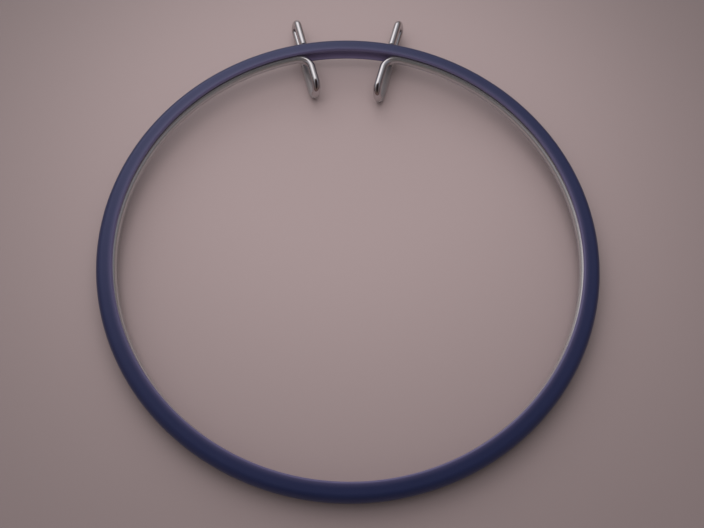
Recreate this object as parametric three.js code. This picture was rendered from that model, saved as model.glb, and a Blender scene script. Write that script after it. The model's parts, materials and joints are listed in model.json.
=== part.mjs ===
// Spring-tension embroidery hoop.
// A grooved plastic ring holds a ring of spring wire, whose two ends are bent into looped
// handles. Squeezing the handles draws the wire out of the groove, so that cloth can be laid
// over the plastic ring and gripped by the wire when the handles are let go.
//
// Millimetres and degrees. The hoop is built lying flat about its own centre, with the handles
// towards +Y, and is then leaned back on its handles, the way it lies on a table.

import * as THREE from 'three';
import { mergeVertices } from 'three/addons/utils/BufferGeometryUtils.js';

// Plastic ring
const ringDiameter = 140;
const ringWidth = 4.8; // from the outer wall to the lips
const outerWallFlat = 0.8; // upright part of the outer wall, between its rounded corners
const lipThickness = 0.85; // above and below the groove
const lipCornerRadius = 0.55;
const mouthRounding = 0.7; // of what the lip corner leaves of a lip's thickness
const grooveDepth = 2.8; // from the lips to the groove's floor

// Spring wire
const wireDiameter = 2.5;
const grooveClearance = 0.3; // above and below the wire, and behind it at the back
const springEase = 1.3; // how much shallower the wire sits at the handles than at the back
const jointGap = 0.3; // between the stretches of wire, along the wire
const backArcHalfAngle = 4; // the stretch opposite the handles, either side of the middle

// Handles, bent from the two ends of the wire
const handleHalfAngle = 15; // where each end leaves the groove, from the middle of the gap
const leftHandleTurn = 91; // from the groove towards the hoop's centre
const rightHandleTurn = 89.6;
const handleBendRadius = 4.6;
const handleLean = 13.2; // of each loop's plane, lower strand away from the gap
const innerLoopRadius = 2.7;
const outerLoopRadius = 2.0;
const leftInnerReach = 5; // straight part of the upper strand, before the inner loop
const rightInnerReach = 6.7;
const outerReach = 19.5; // of the lower strand, past where the upper strand begins
const endClearance = 1.25; // between the wire's end and the ring's outer wall

// Fineness of the curved surfaces
const ringSegments = 96;
const cornerStep = 25;
const wireSides = 12;
const ringStep = 4;
const bendStep = 22.5;

const ringRadius = ringDiameter / 2;
const lipRadius = ringRadius - ringWidth;
const wireRadius = wireDiameter / 2;
const grooveRadius = wireRadius + grooveClearance;
const ringHeight = 2 * (grooveRadius + lipThickness);
const outerCornerRadius = (ringHeight - outerWallFlat) / 2;
const mouthCornerRadius = mouthRounding * (lipThickness - lipCornerRadius);
const seatRadius = lipRadius + grooveDepth - grooveRadius;
const wireRingRadius = seatRadius - springEase / 2;
const rad = THREE.MathUtils.degToRad;
const up = new THREE.Vector3(0, 0, 1);

const plastic = { color: '#34385a', roughness: 0.5, metalness: 0 };
const platedSteel = { color: '#c8c6c6', roughness: 0.12, metalness: 1 };

function solidMesh(name, geometry, finish) {
  geometry.deleteAttribute('normal');
  geometry.deleteAttribute('uv');
  const merged = mergeVertices(geometry);
  merged.computeVertexNormals();
  const mesh = new THREE.Mesh(merged, new THREE.MeshStandardMaterial(finish));
  mesh.name = name;
  return mesh;
}

// Points of an arc in the ring's section, from one angle to another.
function sectionArc(r, z, radius, from, to) {
  const steps = Math.max(2, Math.ceil(Math.abs(to - from) / cornerStep));
  return Array.from({ length: steps + 1 }, (_, i) => {
    const angle = rad(from + ((to - from) * i) / steps);
    return new THREE.Vector2(r + radius * Math.cos(angle), z + radius * Math.sin(angle));
  });
}

// The section: a flat top and bottom, a rounded outer wall, and two lips that leave a
// round-floored groove between them in the inner wall.
function ringSection() {
  const half = ringHeight / 2;
  const outer = outerCornerRadius;
  const lip = lipCornerRadius;
  const mouth = mouthCornerRadius;
  const section = [
    ...sectionArc(lipRadius + lip, lip - half, lip, 180, 270),
    ...sectionArc(ringRadius - outer, outer - half, outer, 270, 360),
    ...sectionArc(ringRadius - outer, half - outer, outer, 0, 90),
    ...sectionArc(lipRadius + lip, half - lip, lip, 90, 180),
    ...sectionArc(lipRadius + mouth, grooveRadius + mouth, mouth, 180, 270),
    ...sectionArc(seatRadius, 0, grooveRadius, 90, -90),
    ...sectionArc(lipRadius + mouth, -grooveRadius - mouth, mouth, 90, 180),
  ];
  return [...section, section[0].clone()];
}

function outerRing() {
  const geometry = new THREE.LatheGeometry(ringSection(), ringSegments);
  geometry.rotateX(Math.PI / 2);
  return solidMesh('outer_ring', geometry, plastic);
}

// An arc in space: a start point swung about an axis through a centre.
class SwungArc extends THREE.Curve {
  constructor(start, centre, axis, angle) {
    super();
    Object.assign(this, { spoke: start.clone().sub(centre), centre, axis, angle });
  }

  getPoint(t, target = new THREE.Vector3()) {
    return target.copy(this.spoke).applyAxisAngle(this.axis, t * this.angle).add(this.centre);
  }

  getTangent(t, target = new THREE.Vector3()) {
    const spoke = this.spoke.clone().applyAxisAngle(this.axis, t * this.angle);
    return target.crossVectors(this.axis, spoke).normalize();
  }
}

// The wire's middle line, with as many steps in each stretch as its bend needs.
class WireLine extends THREE.Curve {
  constructor(stretches) {
    super();
    this.stretches = stretches;
    this.steps = stretches.reduce((sum, stretch) => sum + stretch.steps, 0);
  }

  locate(u) {
    let step = u * this.steps;
    let i = 0;
    while (i < this.stretches.length - 1 && step > this.stretches[i].steps) {
      step -= this.stretches[i].steps;
      i += 1;
    }
    return [this.stretches[i].curve, step / this.stretches[i].steps];
  }

  getPointAt(u, target) {
    const [curve, t] = this.locate(u);
    return curve.getPoint(t, target);
  }

  getTangentAt(u, target) {
    const [curve, t] = this.locate(u);
    return curve.getTangent(t, target);
  }
}

// Forms wire as a bending machine does: it feeds straight stretches and turns bends.
class WireFormer {
  constructor(position, direction) {
    this.position = position;
    this.direction = direction;
    this.stretches = [];
  }

  straight(length) {
    const end = this.position.clone().addScaledVector(this.direction, length);
    this.stretches.push({ curve: new THREE.LineCurve3(this.position, end), steps: 1 });
    this.position = end;
    return this;
  }

  bend(radius, degrees, axis, step = bendStep) {
    const side = new THREE.Vector3().crossVectors(axis, this.direction);
    const centre = this.position.clone().addScaledVector(side, radius);
    const curve = new SwungArc(this.position, centre, axis.clone(), rad(degrees));
    this.stretches.push({ curve, steps: Math.max(2, Math.ceil(degrees / step)) });
    this.position = curve.getPoint(1);
    this.direction = this.direction.clone().applyAxisAngle(axis, rad(degrees));
    return this;
  }

  mesh(name) {
    const line = new WireLine(this.stretches);
    const circle = Array.from({ length: wireSides }, (_, i) => {
      const angle = (2 * Math.PI * i) / wireSides;
      return new THREE.Vector2(wireRadius * Math.cos(angle), wireRadius * Math.sin(angle));
    });
    const options = { steps: line.steps, extrudePath: line };
    const geometry = new THREE.ExtrudeGeometry(new THREE.Shape(circle), options);
    return solidMesh(name, geometry, platedSteel);
  }
}

// A former set on the wire ring at an angle from the middle of the back, where side is
// +1 for the right half and -1 for its mirror image on the left. The wire ring is smaller
// than the groove and lies against its floor at the back.
function formerOnRing(degrees, side) {
  const angle = rad(degrees);
  const position = new THREE.Vector3(side * Math.sin(angle), -Math.cos(angle), 0);
  position.multiplyScalar(wireRingRadius).y -= springEase / 2;
  const direction = new THREE.Vector3(side * Math.cos(angle), Math.sin(angle), 0);
  return new WireFormer(position, direction);
}

const halfGapAngle = THREE.MathUtils.radToDeg(jointGap / 2 / wireRingRadius);

function backArc() {
  const half = backArcHalfAngle - halfGapAngle;
  return formerOnRing(-half, 1).bend(wireRingRadius, 2 * half, up, ringStep).mesh('wire_back');
}

// Half the wire ring and its handle. The end turns out of the groove towards the centre,
// loops down and runs out again under the plastic ring, then loops up behind the outer wall.
function springHalf(side, turn, innerReach) {
  const from = backArcHalfAngle + halfGapAngle;
  const hoopAxis = up.clone().multiplyScalar(side);
  const wire = formerOnRing(from, side)
    .bend(wireRingRadius, 180 - handleHalfAngle - from, hoopAxis, ringStep)
    .bend(handleBendRadius, turn, hoopAxis);
  const inward = wire.direction.clone();
  const awayFromGap = new THREE.Vector3().crossVectors(hoopAxis, inward);
  const down = up.clone().multiplyScalar(-Math.cos(rad(handleLean)));
  down.addScaledVector(awayFromGap, Math.sin(rad(handleLean)));
  const loopAxis = new THREE.Vector3().crossVectors(inward, down);

  wire.straight(innerReach).bend(innerLoopRadius, 180, loopAxis);
  wire.straight(innerReach + outerReach).bend(outerLoopRadius, 180, loopAxis);
  const wall = ringRadius + endClearance;
  wire.straight(Math.hypot(wire.position.x, wire.position.y) - wall);
  return wire;
}

const leftWire = springHalf(-1, leftHandleTurn, leftInnerReach);
const rightWire = springHalf(1, rightHandleTurn, rightInnerReach);

// The lean at which the ring's near edge and a handle's inner loop both touch the table.
function restLean(wire) {
  const [, , upperStrand] = wire.stretches;
  const loopDrop = innerLoopRadius * Math.cos(rad(handleLean));
  const run = upperStrand.curve.v2.y + ringRadius - outerCornerRadius;
  const fall = loopDrop + outerCornerRadius - ringHeight / 2;
  const spread = loopDrop + wireRadius - outerCornerRadius;
  return Math.atan2(fall, run) + Math.asin(spread / Math.hypot(run, fall));
}

const hoop = new THREE.Group();
hoop.add(outerRing(), backArc(), leftWire.mesh('wire_left'), rightWire.mesh('wire_right'));
hoop.rotation.x = Math.max(restLean(leftWire), restLean(rightWire));
hoop.updateMatrixWorld(true);

// The origin is under the middle of the hoop's outline, on the table.
const outline = new THREE.Box3().setFromObject(hoop, true);
const middle = outline.getCenter(new THREE.Vector3());
hoop.position.set(-middle.x, -middle.y, -outline.min.z);

const embroideryHoop = new THREE.Group();
embroideryHoop.add(hoop);

export default embroideryHoop;
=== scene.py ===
"""Spring-tension embroidery hoop: a grooved plastic ring, a bent spring wire in its groove, and a
small photo table.

Metres throughout. The hoop is worked out lying flat about its own centre, handles towards +Y, and
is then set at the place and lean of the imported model, which come from its turning joint.
"""

import json
import math
from collections import namedtuple

import bpy
import numpy as np
from bpy.props import FloatProperty, FloatVectorProperty, PointerProperty
from bpy.types import Operator, Panel, PropertyGroup
from mathutils import Matrix, Vector


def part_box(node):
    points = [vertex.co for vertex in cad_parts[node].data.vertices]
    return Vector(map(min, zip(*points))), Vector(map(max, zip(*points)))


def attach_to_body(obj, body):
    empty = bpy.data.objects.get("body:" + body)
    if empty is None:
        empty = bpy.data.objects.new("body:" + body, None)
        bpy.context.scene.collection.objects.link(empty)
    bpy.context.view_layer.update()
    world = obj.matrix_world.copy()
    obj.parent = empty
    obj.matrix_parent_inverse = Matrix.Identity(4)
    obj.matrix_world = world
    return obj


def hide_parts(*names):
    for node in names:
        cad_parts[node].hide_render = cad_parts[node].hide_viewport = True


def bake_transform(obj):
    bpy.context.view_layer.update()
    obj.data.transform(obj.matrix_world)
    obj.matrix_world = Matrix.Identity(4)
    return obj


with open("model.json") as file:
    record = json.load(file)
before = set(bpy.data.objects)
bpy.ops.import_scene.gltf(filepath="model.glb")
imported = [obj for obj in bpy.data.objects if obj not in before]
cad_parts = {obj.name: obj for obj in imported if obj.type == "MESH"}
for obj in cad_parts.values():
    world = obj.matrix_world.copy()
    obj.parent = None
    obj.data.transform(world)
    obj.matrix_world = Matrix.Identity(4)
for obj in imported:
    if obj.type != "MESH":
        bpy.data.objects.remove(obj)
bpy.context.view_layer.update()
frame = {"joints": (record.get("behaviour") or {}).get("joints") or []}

bl_info = {
    "name": "Embroidery Hoop",
    "version": (1, 0, 0),
    "blender": (4, 5, 0),
    "location": "3D View > Sidebar > Hoop",
    "description": "Makes a spring-tension embroidery hoop on a photo table",
    "category": "Add Mesh",
}

MM = 0.001
SHARP_ANGLE = math.radians(50)

# The hoop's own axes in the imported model: its centre and its axis are those of the joint that
# turns the wire in the groove.
TURNING = next(joint for joint in frame["joints"] if joint["name"] == "turn_in_groove")
HOOP_CENTRE = Vector(TURNING["pos_m"])
HOOP_AXIS = Vector(TURNING["axis"]).normalized()
ACROSS = Vector((1, 0, 0))
TO_HANDLES = HOOP_AXIS.cross(ACROSS).normalized()
HOOP_TURN = Matrix((ACROSS, TO_HANDLES, HOOP_AXIS)).transposed()
HOOP_MATRIX = Matrix.Translation(HOOP_CENTRE) @ HOOP_TURN.to_4x4()

RING_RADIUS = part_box("outer_ring")[1][0]


def length(name, description, millimetres):
    """A size in the sidebar, given here in millimetres."""
    return FloatProperty(
        name=name, description=description, default=millimetres * MM, min=0.0, unit="LENGTH", precision=5
    )


def angle(name, description, degrees):
    """An angle in the sidebar, given here in degrees."""
    return FloatProperty(
        name=name, description=description, default=math.radians(degrees), subtype="ANGLE"
    )


def colour(name, description, red, green, blue):
    """A colour in the sidebar, given here as the 0 to 255 values that a screen shows."""
    shown = np.array([red, green, blue]) / 255
    linear = np.where(shown <= 0.04045, shown / 12.92, ((shown + 0.055) / 1.055) ** 2.4)
    return FloatVectorProperty(
        name=name, description=description, default=tuple(linear), min=0.0, max=1.0, size=3, subtype="COLOR"
    )


class RingSizes(PropertyGroup):
    """Sizes and colour of the plastic ring."""

    width: length("Width", "From the outer wall to the lips", 4.8)
    outer_wall_flat: length("Outer wall flat", "Upright part of the outer wall", 0.8)
    lip_thickness: length("Lip thickness", "Thickness above and below the groove", 0.85)
    lip_corner: length("Lip corner", "Radius of each lip's outer corner", 0.55)
    mouth_corner: length("Mouth corner", "Radius where a lip turns into the groove", 0.21)
    groove_depth: length("Groove depth", "From the lips to the groove's floor", 2.8)
    groove_clearance: length("Groove clearance", "Between wire and groove", 0.3)
    plastic: colour("Plastic", "Colour of the moulded plastic", 31, 36, 66)
    # Painted light: a paler colour painted in the groove, and a painted sheen on the lips' edges.
    painted_light: colour("Rubbed plastic", "Paler colour on the lips and in the groove", 122, 108, 138)


class WireSizes(PropertyGroup):
    """Sizes and colour of the spring wire and its handles."""

    diameter: length("Wire diameter", "Thickness of the spring wire", 2.5)
    ease: length("Spring ease", "How much shallower the wire sits at the handles", 1.3)
    gap_half_angle: angle("Half gap", "Where each end leaves the groove, from the gap's middle", 15)
    left_turn: angle("Left turn", "Of the left handle, from the groove towards the hoop's centre", 91)
    right_turn: angle("Right turn", "Of the right handle, from the groove towards the hoop's centre", 89.6)
    handle_bend: length("Handle bend", "Radius of the turn out of the groove", 4.6)
    handle_lean: angle("Handle lean", "Lean of each loop's plane", 13.2)
    inner_loop: length("Inner loop", "Radius of the loop inside the hoop", 2.7)
    outer_loop: length("Outer loop", "Radius of the loop outside the hoop", 2.0)
    left_reach: length("Left reach", "Straight part of the left upper strand", 5.0)
    right_reach: length("Right reach", "Straight part of the right upper strand", 6.7)
    outer_reach: length("Outer reach", "Lower strand, past the start of the upper one", 19.5)
    end_clearance: length("End clearance", "Between the wire's end and the outer wall", 1.25)
    end_rounding: length("End rounding", "Radius round the cut end of the wire", 0.35)
    steel: colour("Plated steel", "Colour of the plating", 203, 201, 202)
    # A greyer colour painted on the lower strands as painted shade, and on the wire in the groove as
    # painted light.
    painted_grey: colour("Dull steel", "Greyer colour in the groove and on the lower strands", 160, 153, 154)


class StageSizes(PropertyGroup):
    """Camera and table of the photo."""

    camera_distance: length("Camera distance", "From the hoop's centre", 183.66)
    camera_tilt: angle("Camera tilt", "From the hoop's axis", 25.066)
    camera_turn: angle("Camera turn", "Of the hoop about its axis, seen from the camera", 2.67)
    camera_roll: angle("Camera roll", "About the line of sight", 2.345)
    table: colour("Table", "Colour of the table top", 163, 144, 144)
    bounce: colour("Bounce", "Colour in which the table lights the hoop from below", 232, 224, 224)


# Surfaces


def arc(radius, start, end, steps):
    """Points (radius cos t, radius sin t) for t from start to end, in degrees, both ends included."""
    t = np.radians(np.linspace(start, end, steps + 1))
    return radius * np.column_stack((np.cos(t), np.sin(t)))


def mesh_object(name, points, faces, material):
    """A smooth-shaded mesh of these points and faces, set at the hoop's place in the model."""
    placed = points @ np.array(HOOP_MATRIX.to_3x3()).T + np.array(HOOP_MATRIX.translation)
    mesh = bpy.data.meshes.new(name)
    mesh.from_pydata(placed, [], faces)
    mesh.polygons.foreach_set("use_smooth", np.ones(len(mesh.polygons), bool))
    mesh.set_sharp_from_angle(angle=SHARP_ANGLE)
    mesh.materials.append(material)
    made = bpy.data.objects.new(name, mesh)
    bpy.context.scene.collection.objects.link(made)
    return made


def attach(made, name, kind, values):
    """Gives each point of the mesh a value by this name: one number if the kind is FLOAT, and
    three if it is FLOAT_VECTOR."""
    field = {"FLOAT": "value", "FLOAT_VECTOR": "vector"}[kind]
    made.data.attributes.new(name, kind, "POINT")
    made.data.attributes[name].data.foreach_set(field, np.ravel(values))


def quads(rows, columns, rows_close=False):
    """Faces of a grid of points whose columns close on themselves, and rows too if rows_close."""
    row = np.arange(rows if rows_close else rows - 1)[:, None]
    column = np.arange(columns)[None, :]
    next_row = (row + 1) % rows
    next_column = (column + 1) % columns
    corners = (
        row * columns + column,
        row * columns + next_column,
        next_row * columns + next_column,
        next_row * columns + column,
    )
    return np.stack(corners, axis=-1).reshape(-1, 4)


def revolve(section, segments):
    """Turns a closed section of (radius, height) points about the hoop's axis: the point at turn t
    is (radius cos t, radius sin t, height)."""
    t = np.linspace(0, 2 * np.pi, segments, endpoint=False)[:, None]
    radius, height = section[:, 0], section[:, 1]
    x = radius * np.cos(t)
    y = radius * np.sin(t)
    z = np.broadcast_to(height, x.shape)
    return np.stack((x, y, z), axis=-1)


# Nodes


def material_with_shader(name):
    """A new node material, its tree and its Principled shader."""
    material = bpy.data.materials.new(name)
    material.use_nodes = True
    return material, material.node_tree, material.node_tree.nodes["Principled BSDF"]


def noise(tree, vector, scale, detail):
    """The factor output of a noise texture read at these coordinates."""
    node = tree.nodes.new("ShaderNodeTexNoise")
    node.inputs["Scale"].default_value = scale
    node.inputs["Detail"].default_value = detail
    tree.links.new(vector, node.inputs["Vector"])
    return node.outputs["Fac"]


def spread(tree, value, low, high):
    """A 0 to 1 value brought to the range from low to high."""
    node = tree.nodes.new("ShaderNodeMapRange")
    node.inputs["To Min"].default_value = low
    node.inputs["To Max"].default_value = high
    tree.links.new(value, node.inputs["Value"])
    return node.outputs["Result"]


def rise(tree, value, start, end):
    """0 up to the start of a value, 1 from its end on, and smooth between them."""
    node = tree.nodes.new("ShaderNodeMapRange")
    node.interpolation_type = "SMOOTHSTEP"
    node.inputs["From Min"].default_value = start
    node.inputs["From Max"].default_value = end
    tree.links.new(value, node.inputs["Value"])
    return node.outputs["Result"]


def mixed(tree, factor, first, second):
    """The first colour at factor 0 and the second at 1. Each is a colour or a node's output."""
    node = tree.nodes.new("ShaderNodeMix")
    node.data_type = "RGBA"
    tree.links.new(factor, node.inputs["Factor"])
    for name, given in (("A", first), ("B", second)):
        if isinstance(given, bpy.types.NodeSocket):
            tree.links.new(given, node.inputs[name])
        else:
            node.inputs[name].default_value = (*given, 1)
    return node.outputs["Result"]


def scaled(share, given):
    """A colour made darker or lighter by a share."""
    return tuple(share * level for level in given)


def bump(tree, height, distance, strength):
    """A normal raised by a height of up to this distance."""
    node = tree.nodes.new("ShaderNodeBump")
    node.inputs["Distance"].default_value = distance
    node.inputs["Strength"].default_value = strength
    tree.links.new(height, node.inputs["Height"])
    return node.outputs["Normal"]


def vector_math(tree, operation, vector, other=None):
    """The outputs of a vector node that works on a linked vector and, where it needs one, on a
    fixed second one."""
    node = tree.nodes.new("ShaderNodeVectorMath")
    node.operation = operation
    tree.links.new(vector, node.inputs[0])
    if other is not None:
        node.inputs[1].default_value = other
    return node.outputs


def coordinates(tree, output):
    """An output of the texture coordinates."""
    return tree.nodes.new("ShaderNodeTexCoord").outputs[output]


def attribute(tree, name, output):
    """An output of an attribute of the mesh."""
    node = tree.nodes.new("ShaderNodeAttribute")
    node.attribute_name = name
    return node.outputs[output]


# Finishes

# These values are usual ones or were tuned to the tones of the photo, and none was measured on
# the real hoop. A noise is given by its scale and detail, and a bump by its height and strength.
CLOUD_NOISE = (90, 2)
CLOUD_SHARES = (0.9, 1.1)
SATIN_NOISE = (700, 4)
SATIN_ROUGHNESS = (0.30, 0.38)
GRAIN_NOISE = (5200, 3)
GRAIN_BUMP = (0.012 * MM, 0.5)
PLASTIC_IOR = 1.5
PLASTIC_SPECULAR = 0.7
HIGHLIGHT_TINT = (0.66, 0.66, 1.0, 1)

STREAK_SCALES = (60, 2600, 2600)
STREAK_NOISE = (1.0, 3)
STREAK_SHARE = 0.93
STREAK_BUMP = (0.004 * MM, 0.2)
BRIGHT_ROUGHNESS = (0.05, 0.11)
DULL_EXTRA_ROUGHNESS = 0.34
DULL_METALLIC = 0.5


def satin_plastic(plastic, painted_light):
    """Moulded plastic with a fine satin grain, a little cloudy in its colour. A point attribute of the mesh
    says where a paler colour is painted: painted light in the groove and a painted sheen on the lips."""
    material, tree, shader = material_with_shader("satin_plastic")
    place = coordinates(tree, "Object")
    cloud = noise(tree, place, *CLOUD_NOISE)
    grain = noise(tree, place, *GRAIN_NOISE)
    satin = noise(tree, place, *SATIN_NOISE)
    deep, light = (scaled(share, plastic) for share in CLOUD_SHARES)
    clean = mixed(tree, cloud, deep, light)
    # Painted light and painted sheen: the paler colour laid over the plastic in the groove and on the lips.
    pale = mixed(tree, attribute(tree, "painted_light", "Fac"), clean, painted_light)
    tree.links.new(pale, shader.inputs["Base Color"])
    tree.links.new(spread(tree, satin, *SATIN_ROUGHNESS), shader.inputs["Roughness"])
    tree.links.new(bump(tree, grain, *GRAIN_BUMP), shader.inputs["Normal"])
    shader.inputs["IOR"].default_value = PLASTIC_IOR
    shader.inputs["Specular IOR Level"].default_value = PLASTIC_SPECULAR
    shader.inputs["Specular Tint"].default_value = HIGHLIGHT_TINT
    return material


def plated_wire(steel, painted_grey):
    """Bright plating over drawn wire, with faint streaks that run along the wire. It reads the wire's own
    grain attribute, distance along it and then the place round it, and a second attribute which says where
    the colour is painted greyer and duller: painted shade on the lower strands and painted light on the
    wire in the groove."""
    material, tree, shader = material_with_shader("plated_wire")
    streaks = tree.nodes.new("ShaderNodeMapping")
    streaks.inputs["Scale"].default_value = STREAK_SCALES
    tree.links.new(attribute(tree, "grain", "Vector"), streaks.inputs["Vector"])
    drawn = noise(tree, streaks.outputs["Vector"], *STREAK_NOISE)
    painted_shading = attribute(tree, "painted_shading", "Fac")
    bright = mixed(tree, drawn, scaled(STREAK_SHARE, steel), steel)
    # Painted shade on the lower strands and painted light in the groove: the greyer colour mixed over the
    # plating.
    tree.links.new(mixed(tree, painted_shading, bright, painted_grey), shader.inputs["Base Color"])
    tree.links.new(spread(tree, painted_shading, 1.0, DULL_METALLIC), shader.inputs["Metallic"])
    rough = tree.nodes.new("ShaderNodeMath")
    rough.operation = "MULTIPLY_ADD"
    rough.inputs[1].default_value = DULL_EXTRA_ROUGHNESS
    tree.links.new(painted_shading, rough.inputs[0])
    tree.links.new(spread(tree, drawn, *BRIGHT_ROUGHNESS), rough.inputs[2])
    tree.links.new(rough.outputs[0], shader.inputs["Roughness"])
    tree.links.new(bump(tree, drawn, *STREAK_BUMP), shader.inputs["Normal"])
    return material


# Plastic ring

RING_SEGMENTS = 480
FLAT_STEPS = 9
LIP_STEPS = 8
OUTER_STEPS = 14
MOUTH_STEPS = 5
FLOOR_STEPS = 18

# Painted sheen on the lips: its share at a lip's edge, and the width over which it fades across the flats.
LIP_PAINTED_SHEEN = 0.45
LIP_SHEEN_WIDTH = 1.8 * MM


def ring_section(ring, wire):
    """The ring's closed section: a flat top and bottom, a rounded outer wall, and two lips round a
    round-floored groove, each corner an arc about its own centre. The flats have points of their
    own, which carry the rubbing."""
    groove = wire.diameter / 2 + ring.groove_clearance
    half = groove + ring.lip_thickness
    outer = half - ring.outer_wall_flat / 2
    lip_radius = RING_RADIUS - ring.width
    seat_radius = lip_radius + ring.groove_depth - groove
    lip, mouth = ring.lip_corner, ring.mouth_corner
    across_flat = np.linspace(0, RING_RADIUS - outer - lip_radius - lip, FLAT_STEPS + 1)[1:-1]
    flat = np.column_stack((across_flat, np.zeros(len(across_flat))))
    corners = (
        (lip_radius + lip, lip - half, arc(lip, 180, 270, LIP_STEPS)),
        (lip_radius + lip, -half, flat),
        (RING_RADIUS - outer, outer - half, arc(outer, 270, 360, OUTER_STEPS)),
        (RING_RADIUS - outer, half - outer, arc(outer, 0, 90, OUTER_STEPS)),
        (lip_radius + lip, half, flat[::-1]),
        (lip_radius + lip, half - lip, arc(lip, 90, 180, LIP_STEPS)),
        (lip_radius + mouth, groove + mouth, arc(mouth, 180, 270, MOUTH_STEPS)),
        (seat_radius, 0, arc(groove, 90, -90, FLOOR_STEPS)),
        (lip_radius + mouth, -groove - mouth, arc(mouth, 90, 180, MOUTH_STEPS)),
    )
    return np.concatenate([points + (radius, height) for radius, height, points in corners])


def painted_light_share(section, ring):
    """How much painted light each point of the section gets, by its depth behind the lips: 1 in the groove,
    about half on the lips' faces, and less across the flats, by the square of the way left to where it
    ends. The photo is paler there. It is painted light in the groove and a painted sheen on the lips. That
    cloth and wire rub it so is a guess."""
    depth = section[:, 0] - (RING_RADIUS - ring.width)
    groove = section[:, 1].max() - ring.lip_thickness
    between_lips = np.abs(section[:, 1]) < groove + ring.mouth_corner
    in_front = depth < ring.groove_depth + ring.mouth_corner
    inside = np.clip(0.5 + 0.5 * depth / ring.mouth_corner, 0, 1) * between_lips * in_front
    lips = LIP_PAINTED_SHEEN * (1 - np.clip(depth / LIP_SHEEN_WIDTH, 0, 1)) ** 2
    return np.maximum(inside, lips)


class HOOP_OT_outer_ring(Operator):
    """Makes the grooved plastic ring"""

    bl_idname = "hoop.outer_ring"
    bl_label = "Plastic ring"

    def execute(self, context):
        ring = context.scene.hoop_ring
        section = ring_section(ring, context.scene.hoop_wire)
        surface = revolve(section, RING_SEGMENTS)
        faces = quads(RING_SEGMENTS, len(section), rows_close=True)
        finish = satin_plastic(ring.plastic, ring.painted_light)
        made = mesh_object("plastic_ring", surface.reshape(-1, 3), faces, finish)
        # Painted light in the groove and a painted sheen on the lips, as a share for each point.
        attach(made, "painted_light", "FLOAT", np.tile(painted_light_share(section, ring), RING_SEGMENTS))
        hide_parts("outer_ring")
        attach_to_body(made, "outer_ring")
        return {"FINISHED"}


# Spring wire

WIRE_SIDES = 32
RING_STEPS = 170
BEND_STEPS = 24
UPPER_STEPS = 6
LOWER_STEPS = 12
LOOP_STEPS = 40
END_STEPS = 6

# Where the wire is painted greyer and duller: painted shade on the lower strands, and painted light in the
# groove. In a handle this starts one inner loop's radius below the hoop's middle plane, is full at the drop
# given next, in radii, and clears over STRAND_FADE, two distances from the hoop's axis. The wire in the
# groove is painted over GROOVE_FADE, and only above GROOVE_LOWEST.
FULLY_SHADED_DROP = 1.7
STRAND_FADE = (RING_RADIUS - 9 * MM, RING_RADIUS + MM)
GROOVE_FADE = (RING_RADIUS - 7 * MM, RING_RADIUS - 5.5 * MM)
GROOVE_LOWEST = -MM
GROOVE_PAINTED_LIGHT = 0.4

# A distance towards the handles, which flex_end gives. The inner ends of the handles are beyond it.
FLEX_END = 0.038


def turned(vectors, axis, angles):
    """Vectors turned about a unit axis, one result for each angle: v cos a + (axis x v) sin a +
    axis (axis . v)(1 - cos a)."""
    a = np.asarray(angles)[:, None, None]
    crossed = np.cross(axis, vectors)
    along = (vectors @ axis)[:, None] * axis
    return vectors * np.cos(a) + crossed * np.sin(a) + along * (1 - np.cos(a))


class WireFormer:
    """Forms a wire's middle line as a bending machine does. It feeds straight stretches and turns
    bends, and carries along a frame of three unit rows: the way ahead and two across the wire."""

    def __init__(self, place, ahead, across):
        self.place = np.array(place)
        self.frame = np.array([ahead, across, np.cross(ahead, across)])
        self.places = [self.place[None]]
        self.frames = [self.frame[None]]

    def straight(self, distance, steps):
        """The points lie at even steps ahead, and the frame stays as it is."""
        t = np.linspace(0, distance, steps + 1)[1:, None]
        self.add(self.place + t * self.frame[0], np.repeat(self.frame[None], steps, axis=0))

    def bend(self, radius, turn, axis, steps):
        """The points and the frame swing about an axis through a centre that lies one radius to
        the side, through the angle of the turn."""
        angles = np.linspace(0, turn, steps + 1)[1:]
        spoke = -radius * np.cross(axis, self.frame[0])
        spokes = turned(spoke[None], axis, angles)[:, 0]
        self.add(self.place - spoke + spokes, turned(self.frame, axis, angles))

    def add(self, places, frames):
        """Adds a stretch, and goes on from its last point."""
        self.places.append(places)
        self.frames.append(frames)
        self.place = places[-1]
        self.frame = frames[-1]

    def tube(self, radius, rounding, sides):
        """The wire's surface, as rings of points across it: middle + radius (across cos t +
        upright sin t). Its last rings draw in on a quarter circle, round the cut end. With it
        comes each point's grain: how far along the wire it is, and its place across it."""
        edge = np.radians(np.linspace(0, 90, END_STEPS + 1))[1:]
        self.straight(rounding, END_STEPS)
        places = np.concatenate(self.places)
        frames = np.concatenate(self.frames)
        radii = np.full(len(places), radius)
        radii[-END_STEPS:] = radius - rounding + rounding * np.cos(edge)
        end_start = places[-END_STEPS - 1]
        places[-END_STEPS:] = end_start + rounding * np.sin(edge)[:, None] * self.frame[0]
        t = np.linspace(0, 2 * np.pi, sides, endpoint=False)[:, None]
        circle = frames[:, None, 1] * np.cos(t) + frames[:, None, 2] * np.sin(t)
        steps = np.linalg.norm(np.diff(places, axis=0), axis=1)
        along = np.concatenate(([0], np.cumsum(steps)))
        far = np.broadcast_to(along[:, None, None], circle[..., :1].shape)
        across = np.broadcast_to(np.hstack((np.cos(t), np.sin(t))), circle[..., :2].shape)
        grain = np.concatenate((far, radii[:, None, None] * across), axis=-1)
        return places[:, None] + radii[:, None, None] * circle, grain


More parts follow.
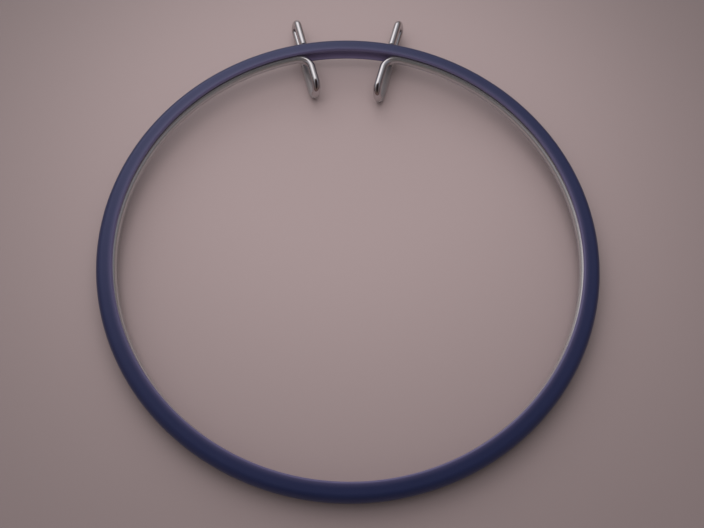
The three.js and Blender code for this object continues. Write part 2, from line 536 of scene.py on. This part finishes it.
def spring_half(ring, wire, side, turn, reach):
    """Half the wire ring and its handle, from the middle of the back: round the groove, a turn
    towards the centre, a loop down, a run out under the plastic ring and a loop up behind it."""
    groove = wire.diameter / 2 + ring.groove_clearance
    wire_ring = RING_RADIUS - ring.width + ring.groove_depth - groove - wire.ease / 2
    hoop_axis = np.array([0, 0, float(side)])
    back = (0, -wire_ring - wire.ease / 2, 0)
    former = WireFormer(back, (side, 0, 0), (0, 1, 0))
    former.bend(wire_ring, math.pi - wire.gap_half_angle, hoop_axis, RING_STEPS)
    former.bend(wire.handle_bend, turn, hoop_axis, BEND_STEPS)
    inward = former.frame[0]
    away_from_gap = np.cross(hoop_axis, inward)
    down = np.array([0, 0, -math.cos(wire.handle_lean)]) + math.sin(wire.handle_lean) * away_from_gap
    loop_axis = np.cross(inward, down)
    former.straight(reach, UPPER_STEPS)
    former.bend(wire.inner_loop, math.pi, loop_axis, LOOP_STEPS)
    former.straight(reach + wire.outer_reach, LOWER_STEPS)
    former.bend(wire.outer_loop, math.pi, loop_axis, LOOP_STEPS)
    last = np.hypot(*former.place[:2]) - RING_RADIUS - wire.end_clearance
    former.straight(last - wire.end_rounding, END_STEPS)
    return former.tube(wire.diameter / 2, wire.end_rounding, WIRE_SIDES)


def smooth(value, start, end):
    """0 before the start, 1 past the end, and t^2 (3 - 2t) between them."""
    t = np.clip((value - start) / (end - start), 0, 1)
    return t * t * (3 - 2 * t)


def painted_shading_share(surface, wire):
    """How far each point of a wire's surface is painted greyer and duller, by where the wire's middle lies:
    1 on the lower strand, which looks greyer in the photo, until it passes under the plastic ring, and less
    in the groove. On the lower strand this is painted shade. The photo shows no wear in the groove. The
    greyer colour there is painted light, which stands in for light that the modelled room doesn't give."""
    middle = surface.mean(axis=1)
    reach = np.hypot(middle[:, 0], middle[:, 1])
    drop = wire.inner_loop
    low = smooth(-middle[:, 2], drop, FULLY_SHADED_DROP * drop)
    inside = 1 - smooth(reach, *STRAND_FADE)
    in_groove = smooth(reach, *GROOVE_FADE) * (middle[:, 2] > GROOVE_LOWEST)
    painted_grey = np.maximum(low * inside, GROOVE_PAINTED_LIGHT * in_groove)
    return np.repeat(painted_grey[:, None], surface.shape[1], axis=1)


def tube_faces(rings, sides, mirrored):
    """The faces round a tube and over its two ends, turned over if the tube is a mirror image."""
    around = quads(rings, sides)
    first = np.arange(sides)
    ends = np.stack((first[::-1], first + (rings - 1) * sides))
    if mirrored:
        around, ends = around[:, ::-1], ends[:, ::-1]
    return around.tolist() + ends.tolist()


class HOOP_OT_spring_wire(Operator):
    """Makes the two halves of the spring wire, each with its handle"""

    bl_idname = "hoop.spring_wire"
    bl_label = "Spring wire"

    def execute(self, context):
        ring, wire = context.scene.hoop_ring, context.scene.hoop_wire
        finish = plated_wire(wire.steel, wire.painted_grey)
        halves = (
            ("left", -1, wire.left_turn, wire.left_reach, ("wire_left", "wire_back")),
            ("right", 1, wire.right_turn, wire.right_reach, ("wire_right",)),
        )
        for name, side, turn, reach, nodes in halves:
            surface, grain = spring_half(ring, wire, side, turn, reach)
            faces = tube_faces(len(surface), WIRE_SIDES, side > 0)
            made = mesh_object(f"spring_{name}", surface.reshape(-1, 3), faces, finish)
            attach(made, "grain", "FLOAT_VECTOR", grain)
            # Painted shade on the lower strands and painted light in the groove, as a share for each point.
            attach(made, "painted_shading", "FLOAT", painted_shading_share(surface, wire))
            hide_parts(*nodes)
            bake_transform(made)
        return {"FINISHED"}

    @staticmethod
    def flex_start():
        """The place where the back stretch of the wire ends."""
        return (0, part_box("wire_left")[0][1], 0)

    @staticmethod
    def flex_end():
        """A place towards the handles, at FLEX_END."""
        return (0, FLEX_END, 0)


# Table

TABLE_RADIUS = 1.5
TABLE_SIDES = 96
TABLE_DROP = 0.02 * MM
TABLE_ROUGHNESS = 0.8

# Painted shade: the table's colour dims between two distances from its brightest place, as the photo does
# towards its corners.
BRIGHTEST_PLACE = (0, 0.035, 0)
PAINTED_SHADE_RANGE = (0.035, 0.155)
PAINTED_SHADE_SHARE = 0.64


def seen_rays(tree):
    """1 for the rays that show a thing to the camera, straight or in metal, and 0 for the soft
    light that it throws on others."""
    rays = tree.nodes.new("ShaderNodeLightPath")
    shown = rays.outputs["Is Camera Ray"]
    for name in ("Is Glossy Ray", "Is Transmission Ray"):
        either = tree.nodes.new("ShaderNodeMath")
        either.operation = "MAXIMUM"
        tree.links.new(shown, either.inputs[0])
        tree.links.new(rays.outputs[name], either.inputs[1])
        shown = either.outputs[0]
    return shown


def table_top(sizes):
    """A round table top just under the hoop. It is dimmer to the camera than to the hoop, since
    the photo was exposed darker than the pale paper it shows."""
    rim = arc(TABLE_RADIUS, 0, 360, TABLE_SIDES)[:-1]
    points = np.column_stack((rim, np.full(TABLE_SIDES, -TABLE_DROP)))
    mesh = bpy.data.meshes.new("table_top")
    mesh.from_pydata(points, [], [range(TABLE_SIDES)])
    material, tree, shader = material_with_shader("table_paper")
    place = coordinates(tree, "Object")
    # Painted shade: the paper's colour darkens away from its brightest place.
    distance = vector_math(tree, "DISTANCE", place, BRIGHTEST_PLACE)["Value"]
    far = rise(tree, distance, *PAINTED_SHADE_RANGE)
    paper = mixed(tree, far, sizes.table, scaled(PAINTED_SHADE_SHARE, sizes.table))
    tree.links.new(mixed(tree, seen_rays(tree), sizes.bounce, paper), shader.inputs["Base Color"])
    shader.inputs["Roughness"].default_value = TABLE_ROUGHNESS
    mesh.materials.append(material)
    made = bpy.data.objects.new("table_top", mesh)
    bpy.context.scene.collection.objects.link(made)
    return made


# Light

# A patch is a soft round area of the world: the way to it, the angles from there, in degrees,
# within which it is full and beyond which it is gone, and its colour.
Patch = namedtuple("Patch", "toward full gone colour")

LIGHT_LEVEL = 0.71
BACKDROP_SHARE = 0.46

EVEN_LIGHT = (0.2, 0.2, 0.2)
WINDOW_LIGHT = Patch((-0.36, 0.76, 0.54), 10, 90, (1.0, 1.0, 1.0))
NEAR_LIGHT = Patch((0, -0.93, 0.37), 20, 70, (0.6, 0.6, 0.6))
LOW_LIGHT = Patch((-0.16, 0.91, 0.38), 8, 38, (4.6, 4.6, 4.6))

ROOM_LOW = (0.18, 0.10, 0.09, 1)
ROOM_MIDDLE = (0.15, 0.125, 0.12, 1)
ROOM_HIGH = (0.25, 0.27, 0.35, 1)
MIDDLE_HEIGHT = 0.35
WINDOW_GLOW = Patch((-0.28, 0.65, 0.70), 18, 62, (0.45, 0.44, 0.46))
WINDOW_PANE = Patch((-0.28, 0.65, 0.70), 9, 28, (1.35, 1.30, 1.33))
BROWN_FRINGE = Patch((0, -0.39, 0.92), 44, 56, (0.13, 0.062, 0.037))
DARK_OVERHEAD = Patch((0, -0.39, 0.92), 37, 48, (0.02, 0.017, 0.02))
OVERHEAD_NARROWING = 1.6

LAMP_PLACE = (-0.02, 0.035, 0.17)
LAMP_TARGET = (-0.005, 0.01, 0)
LAMP_SIZE = 0.2
LAMP_POWER = 0.168


def soft_lamp(name, place, target, size, power):
    """A square area lamp that faces its target and is seen only by its light."""
    lamp = bpy.data.lights.new(name, "AREA")
    lamp.size = size
    lamp.energy = power
    made = bpy.data.objects.new(name, lamp)
    made.location = place
    made.rotation_euler = (Vector(target) - Vector(place)).to_track_quat("-Z", "Y").to_euler()
    made.visible_glossy = False
    made.visible_camera = False
    bpy.context.scene.collection.objects.link(made)


def lobe(tree, direction, patch):
    """1 where a direction in space is full in a patch, falling smoothly to 0 where it is gone."""
    dot = vector_math(tree, "DOT_PRODUCT", direction, Vector(patch.toward).normalized())["Value"]
    return rise(tree, dot, math.cos(math.radians(patch.gone)), math.cos(math.radians(patch.full)))


def with_patch(tree, below, direction, patch):
    """A colour of the world with a patch laid over it."""
    return mixed(tree, lobe(tree, direction, patch), below, patch.colour)


def narrowed(tree, direction, share):
    """A direction with its sideways part made larger by a share, so that a patch read with it is
    narrower than it is high."""
    stretched = vector_math(tree, "MULTIPLY", direction, (share, 1, 1))["Vector"]
    return vector_math(tree, "NORMALIZE", stretched)["Vector"]


def room_colours(tree):
    """What bright metal reflects, an invented room: brown low down, dim walls, a blue-grey
    ceiling, a wide soft window beyond the handles and to the left, and a dark patch with a brown
    fringe over the hoop."""
    direction = coordinates(tree, "Generated")
    height = tree.nodes.new("ShaderNodeSeparateXYZ")
    tree.links.new(direction, height.inputs["Vector"])
    walls = tree.nodes.new("ShaderNodeValToRGB")
    walls.color_ramp.interpolation = "EASE"
    stops = walls.color_ramp.elements
    stops[0].color = ROOM_LOW
    stops[1].color = ROOM_HIGH
    stops.new(MIDDLE_HEIGHT).color = ROOM_MIDDLE
    tree.links.new(height.outputs["Z"], walls.inputs["Fac"])
    room = walls.outputs["Color"]
    for patch in (WINDOW_GLOW, WINDOW_PANE):
        room = with_patch(tree, room, direction, patch)
    overhead = narrowed(tree, direction, OVERHEAD_NARROWING)
    for patch in (BROWN_FRINGE, DARK_OVERHEAD):
        room = with_patch(tree, room, overhead, patch)
    return room


def soft_daylight(tree):
    """The light itself: even all round, stronger from beyond the handles, where the window is,
    and strongest low down there, so that it reaches under the raised side of the hoop. A weak
    low light from the near side softens the shadow in front."""
    direction = coordinates(tree, "Generated")
    light = EVEN_LIGHT
    for patch in (WINDOW_LIGHT, NEAR_LIGHT, LOW_LIGHT):
        light = with_patch(tree, light, direction, patch)
    return light


def surroundings(sizes):
    """A soft light, a room that shows in reflections only, and a plain backdrop for what the
    camera sees past the table, about as dark as the table's far side."""
    world = bpy.data.worlds.new("surroundings")
    world.use_nodes = True
    tree = world.node_tree
    light = tree.nodes["Background"]
    tree.links.new(soft_daylight(tree), light.inputs["Color"])
    light.inputs["Strength"].default_value = LIGHT_LEVEL
    room = tree.nodes.new("ShaderNodeBackground")
    tree.links.new(room_colours(tree), room.inputs["Color"])
    backdrop = tree.nodes.new("ShaderNodeBackground")
    backdrop.inputs["Color"].default_value = (*scaled(BACKDROP_SHARE, sizes.table), 1)
    rays = tree.nodes.new("ShaderNodeLightPath")
    shown = light
    for ray, shader in (("Is Glossy Ray", room), ("Is Camera Ray", backdrop)):
        either = tree.nodes.new("ShaderNodeMixShader")
        tree.links.new(rays.outputs[ray], either.inputs[0])
        tree.links.new(shown.outputs[0], either.inputs[1])
        tree.links.new(shader.outputs[0], either.inputs[2])
        shown = either
    tree.links.new(shown.outputs[0], tree.nodes["World Output"].inputs["Surface"])
    bpy.context.scene.world = world


# Camera

# The sensor's width is in millimetres, and the photo's width, the focal length and the lens shift
# are in pixels of the photo.
SENSOR_WIDTH = 36
PHOTO_WIDTH = 704
FOCAL_LENGTH = 650
LENS_SHIFT = (2.67, -27.8)
CLIP_RANGE = (0.01, 20)


def photo_camera(sizes):
    """The camera of the photo, which looks at the hoop's centre. In the hoop's own axes its line
    of sight is tilted from the hoop's axis towards the near side."""
    camera = bpy.data.cameras.new("photo_camera")
    camera.sensor_width = SENSOR_WIDTH
    camera.lens = SENSOR_WIDTH * FOCAL_LENGTH / PHOTO_WIDTH
    camera.shift_x, camera.shift_y = (shift / PHOTO_WIDTH for shift in LENS_SHIFT)
    camera.clip_start, camera.clip_end = CLIP_RANGE
    turn = Matrix.Rotation(-sizes.camera_turn, 4, "Z")
    tilt = Matrix.Rotation(sizes.camera_tilt, 4, "X")
    away = Matrix.Translation((0, 0, sizes.camera_distance))
    roll = Matrix.Rotation(sizes.camera_roll, 4, "Z")
    made = bpy.data.objects.new("photo_camera", camera)
    made.matrix_world = HOOP_MATRIX @ turn @ tilt @ away @ roll
    bpy.context.scene.collection.objects.link(made)
    bpy.context.scene.camera = made


class HOOP_OT_stage(Operator):
    """Makes the table, the light and the camera"""

    bl_idname = "hoop.stage"
    bl_label = "Table, light and camera"

    def execute(self, context):
        sizes = context.scene.hoop_stage
        table_top(sizes)
        surroundings(sizes)
        soft_lamp("window_lamp", LAMP_PLACE, LAMP_TARGET, LAMP_SIZE, LAMP_POWER)
        photo_camera(sizes)
        context.scene.view_settings.view_transform = "Standard"
        return {"FINISHED"}


class HOOP_PT_sidebar(Panel):
    """Sizes and buttons of the hoop"""

    bl_label = "Embroidery hoop"
    bl_idname = "HOOP_PT_sidebar"
    bl_space_type = "VIEW_3D"
    bl_region_type = "UI"
    bl_category = "Hoop"

    def draw(self, context):
        sections = (
            (HOOP_OT_outer_ring, context.scene.hoop_ring),
            (HOOP_OT_spring_wire, context.scene.hoop_wire),
            (HOOP_OT_stage, context.scene.hoop_stage),
        )
        for operator, sizes in sections:
            box = self.layout.box()
            for name in sizes.__annotations__:
                box.prop(sizes, name)
            box.operator(operator.bl_idname)


CLASSES = (
    RingSizes,
    WireSizes,
    StageSizes,
    HOOP_OT_outer_ring,
    HOOP_OT_spring_wire,
    HOOP_OT_stage,
    HOOP_PT_sidebar,
)


def register():
    for each in CLASSES:
        bpy.utils.register_class(each)
    bpy.types.Scene.hoop_ring = PointerProperty(type=RingSizes)
    bpy.types.Scene.hoop_wire = PointerProperty(type=WireSizes)
    bpy.types.Scene.hoop_stage = PointerProperty(type=StageSizes)


def unregister():
    del bpy.types.Scene.hoop_stage
    del bpy.types.Scene.hoop_wire
    del bpy.types.Scene.hoop_ring
    for each in reversed(CLASSES):
        bpy.utils.unregister_class(each)


def main():
    """Makes the hoop and its stage."""
    register()
    bpy.ops.hoop.outer_ring()
    bpy.ops.hoop.spring_wire()
    bpy.ops.hoop.stage()


if __name__ == "__main__":
    main()
